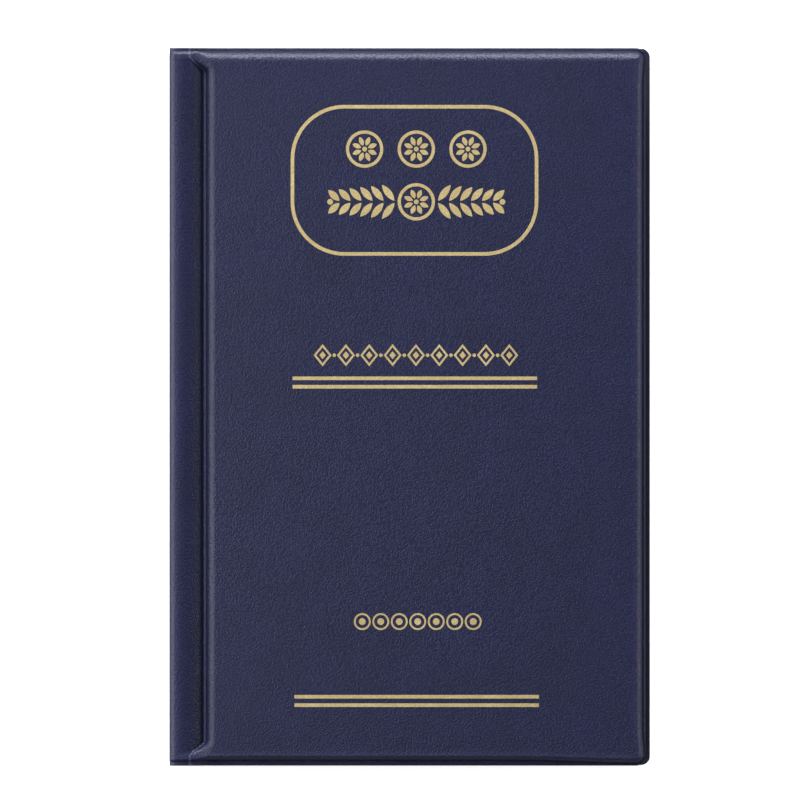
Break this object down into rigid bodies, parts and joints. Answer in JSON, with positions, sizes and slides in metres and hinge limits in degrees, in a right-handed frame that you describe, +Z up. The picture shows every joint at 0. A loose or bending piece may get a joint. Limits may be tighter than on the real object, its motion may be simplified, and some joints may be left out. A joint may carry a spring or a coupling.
{
  "type": "coin album",
  "caption": "Coin album with a padded, welded leatherette cover and clear pocket leaves for single coins, opening flat on the folds of its spine.",
  "frame": {"origin": "middle of the underside of the closed album, at the level of the surface it lies on", "axes": "+X from the spine to the fore edge, +Y to the head of the page, +Z up to the front cover"},
  "size_m": [0.134, 0.2, 0.0201],
  "materials": {
    "cover_leatherette": "fine leather grain embossed in satin navy PVC",
    "padding_foam": "thin open-cell foam",
    "greyboard": "matt grey bookbinding board",
    "liner_film": "smooth matt dark navy PVC film",
    "binding_plastic": "satin dark PVC strip",
    "clear_film": "clear glossy soft PVC film",
    "gold_foil": "hot-stamped satin gold foil"
  },
  "bodies": {
    "back_cover": {"back_skin": "cover_leatherette", "back_hinge_strip": "cover_leatherette", "back_foam": "padding_foam", "back_board": "greyboard", "back_liner": "liner_film"},
    "spine": {"spine_skin": "cover_leatherette", "spine_board": "greyboard", "spine_liner": "liner_film", "binding_strip": "binding_plastic"},
    "front_cover": {"front_skin": "cover_leatherette", "front_hinge_strip": "cover_leatherette", "front_foam": "padding_foam", "front_board": "greyboard", "front_liner": "liner_film", "foil_frame": "gold_foil", "foil_rule_1": "gold_foil", "foil_rule_2": "gold_foil", "foil_rule_3": "gold_foil", "foil_rule_4": "gold_foil"},
    "leaf_01": {"leaf_01_back_film": "clear_film", "leaf_01_pocket_film": "clear_film", "leaf_01_guard": "clear_film"},
    "leaf_02": {"leaf_02_back_film": "clear_film", "leaf_02_pocket_film": "clear_film", "leaf_02_guard": "clear_film"},
    "leaf_03": {"leaf_03_back_film": "clear_film", "leaf_03_pocket_film": "clear_film", "leaf_03_guard": "clear_film"},
    "leaf_04": {"leaf_04_back_film": "clear_film", "leaf_04_pocket_film": "clear_film", "leaf_04_guard": "clear_film"},
    "leaf_05": {"leaf_05_back_film": "clear_film", "leaf_05_pocket_film": "clear_film", "leaf_05_guard": "clear_film"},
    "leaf_06": {"leaf_06_back_film": "clear_film", "leaf_06_pocket_film": "clear_film", "leaf_06_guard": "clear_film"},
    "leaf_07": {"leaf_07_back_film": "clear_film", "leaf_07_pocket_film": "clear_film", "leaf_07_guard": "clear_film"},
    "leaf_08": {"leaf_08_back_film": "clear_film", "leaf_08_pocket_film": "clear_film", "leaf_08_guard": "clear_film"},
    "leaf_09": {"leaf_09_back_film": "clear_film", "leaf_09_pocket_film": "clear_film", "leaf_09_guard": "clear_film"},
    "leaf_10": {"leaf_10_back_film": "clear_film", "leaf_10_pocket_film": "clear_film", "leaf_10_guard": "clear_film"}
  },
  "joints": [
    {"name": "back_hinge", "type": "hinge", "parent": "back_cover", "child": "spine", "pos_m": [-0.06675, 0, 0.00025], "axis": [0, -1, 0], "range_deg": [0, 90]},
    {"name": "front_hinge", "type": "hinge", "parent": "spine", "child": "front_cover", "pos_m": [-0.06675, 0, 0.01975], "axis": [0, -1, 0], "range_deg": [0, 90]},
    {"name": "leaf_01_turn", "type": "hinge", "parent": "spine", "child": "leaf_01", "pos_m": [-0.0631, 0, 0.00438], "axis": [0, -1, 0], "range_deg": [-73.64, 0]},
    {"name": "leaf_02_turn", "type": "hinge", "parent": "spine", "child": "leaf_02", "pos_m": [-0.0631, 0, 0.00562], "axis": [0, -1, 0], "range_deg": [-57.28, 0]},
    {"name": "leaf_03_turn", "type": "hinge", "parent": "spine", "child": "leaf_03", "pos_m": [-0.0631, 0, 0.00688], "axis": [0, -1, 0], "range_deg": [-40.91, 0]},
    {"name": "leaf_04_turn", "type": "hinge", "parent": "spine", "child": "leaf_04", "pos_m": [-0.0631, 0, 0.00813], "axis": [0, -1, 0], "range_deg": [-24.55, 0]},
    {"name": "leaf_05_turn", "type": "hinge", "parent": "spine", "child": "leaf_05", "pos_m": [-0.0631, 0, 0.00937], "axis": [0, -1, 0], "range_deg": [-8.19, 0]},
    {"name": "leaf_06_turn", "type": "hinge", "parent": "spine", "child": "leaf_06", "pos_m": [-0.0631, 0, 0.01063], "axis": [0, -1, 0], "range_deg": [0, 8.19]},
    {"name": "leaf_07_turn", "type": "hinge", "parent": "spine", "child": "leaf_07", "pos_m": [-0.0631, 0, 0.01188], "axis": [0, -1, 0], "range_deg": [0, 24.55]},
    {"name": "leaf_08_turn", "type": "hinge", "parent": "spine", "child": "leaf_08", "pos_m": [-0.0631, 0, 0.01312], "axis": [0, -1, 0], "range_deg": [0, 40.91]},
    {"name": "leaf_09_turn", "type": "hinge", "parent": "spine", "child": "leaf_09", "pos_m": [-0.0631, 0, 0.01438], "axis": [0, -1, 0], "range_deg": [0, 57.28]},
    {"name": "leaf_10_turn", "type": "hinge", "parent": "spine", "child": "leaf_10", "pos_m": [-0.0631, 0, 0.01562], "axis": [0, -1, 0], "range_deg": [0, 73.64]}
  ],
  "couplings": [
    {"joint": "leaf_01_turn", "follows": "back_hinge", "ratio": -0.81818},
    {"joint": "leaf_02_turn", "follows": "back_hinge", "ratio": -0.63636},
    {"joint": "leaf_03_turn", "follows": "back_hinge", "ratio": -0.45454},
    {"joint": "leaf_04_turn", "follows": "back_hinge", "ratio": -0.27273},
    {"joint": "leaf_05_turn", "follows": "back_hinge", "ratio": -0.090909},
    {"joint": "leaf_06_turn", "follows": "front_hinge", "ratio": 0.090909},
    {"joint": "leaf_07_turn", "follows": "front_hinge", "ratio": 0.27273},
    {"joint": "leaf_08_turn", "follows": "front_hinge", "ratio": 0.45454},
    {"joint": "leaf_09_turn", "follows": "front_hinge", "ratio": 0.63636},
    {"joint": "leaf_10_turn", "follows": "front_hinge", "ratio": 0.81818}
  ]
}
